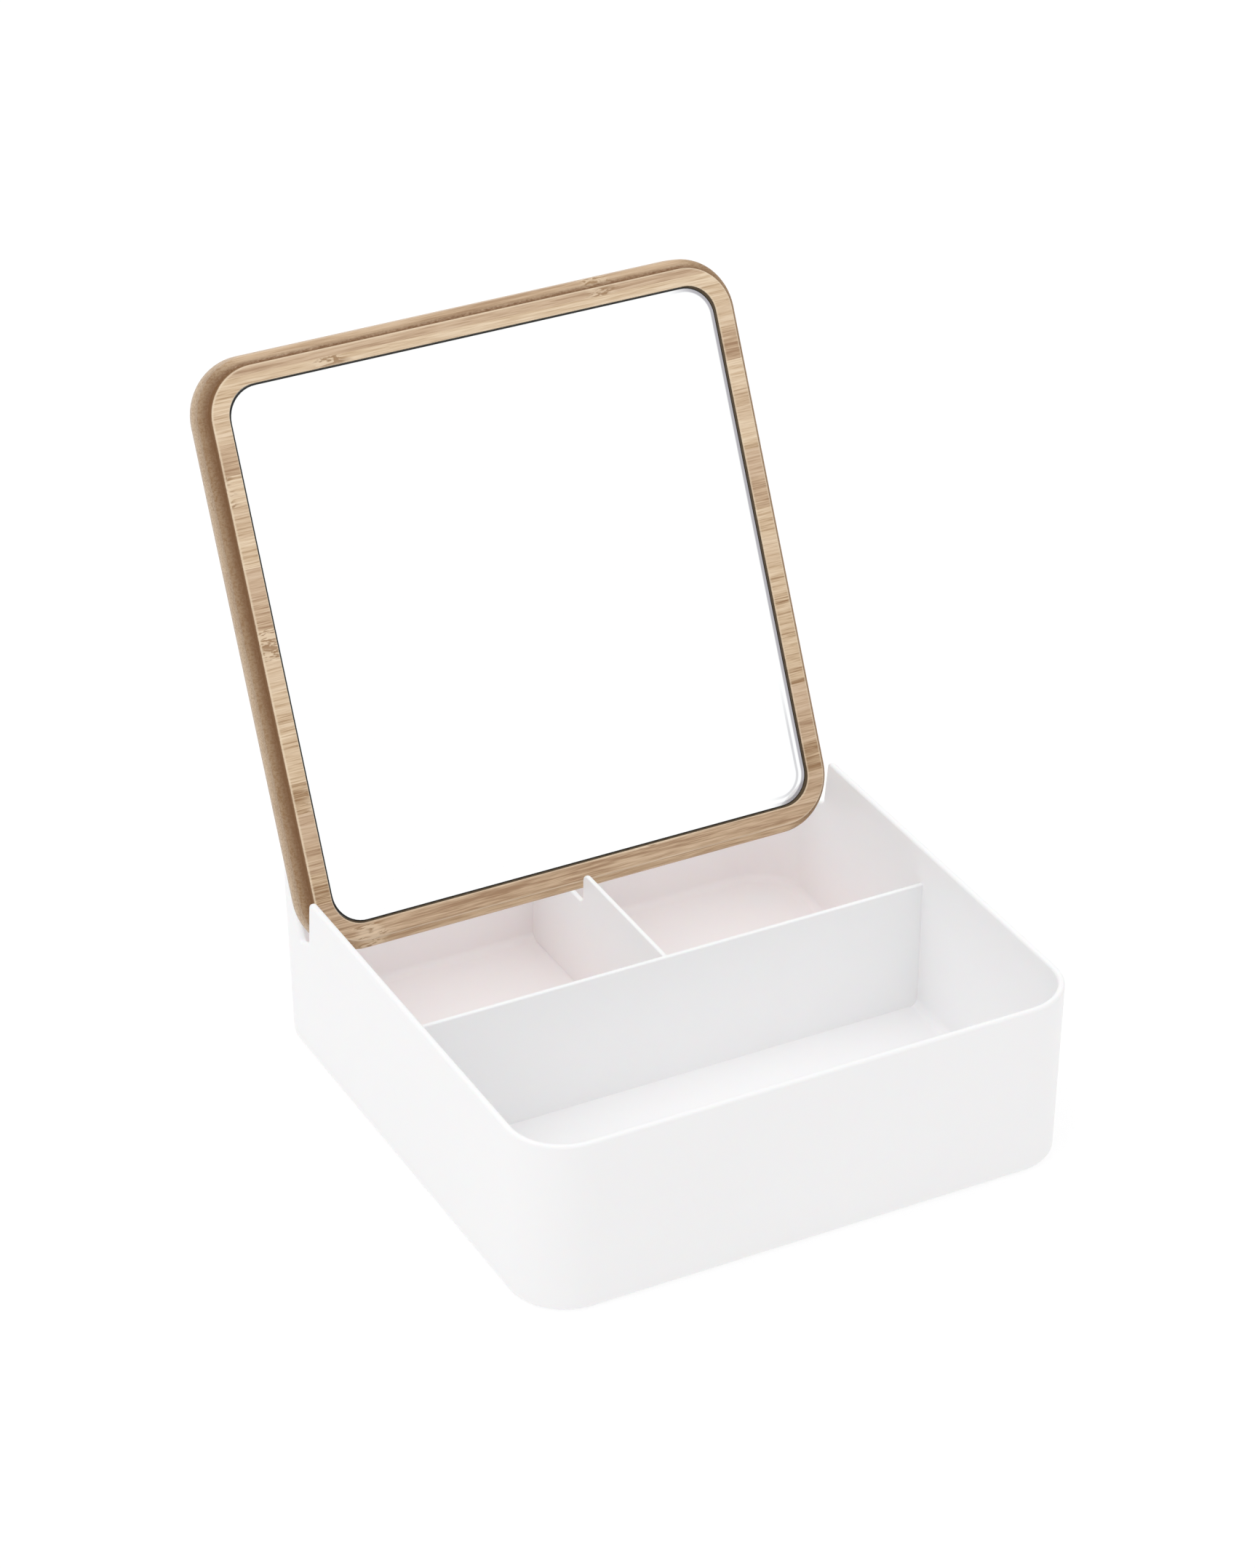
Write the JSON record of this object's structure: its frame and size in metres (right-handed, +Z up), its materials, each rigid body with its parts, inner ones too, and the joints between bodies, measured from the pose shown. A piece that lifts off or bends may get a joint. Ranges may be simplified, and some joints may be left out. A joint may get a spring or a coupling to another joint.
{
  "type": "make-up tray with mirror lid",
  "caption": "Square compartment tray with a wooden lid that holds a mirror, stood on edge in slots and leaning back as a vanity mirror",
  "frame": {"origin": "On the table, at the middle of the whole object's footprint with the lid stood in its slots", "axes": "X to the right along the front, Y from the front to the back and the way the lid leans, Z up"},
  "size_m": [0.2, 0.2579, 0.2246],
  "materials": {
    "tray_plastic": "white moulded plastic with a satin sheen",
    "lid_bamboo": "edge-glued bamboo strips, sanded and clear coated",
    "mirror_silver": "silvered glass",
    "tape_foam": "double-sided foam tape",
    "pad_rubber": "translucent soft pad"
  },
  "bodies": {
    "tray_body": {"tray": "tray_plastic", "foot_pad_front_left": "pad_rubber", "foot_pad_front_right": "pad_rubber", "foot_pad_rear_left": "pad_rubber", "foot_pad_rear_right": "pad_rubber"},
    "lid_body": {"lid_board": "lid_bamboo", "mirror_glass": "mirror_silver", "mirror_tape_1": "tape_foam", "mirror_tape_2": "tape_foam", "mirror_tape_3": "tape_foam", "mirror_tape_4": "tape_foam"}
  },
  "joints": [
    {"name": "lid_lift", "type": "slide", "parent": "tray_body", "child": "lid_body", "axis": [0, 0.4258, 0.9048], "range_m": [0, 0.045]}
  ]
}
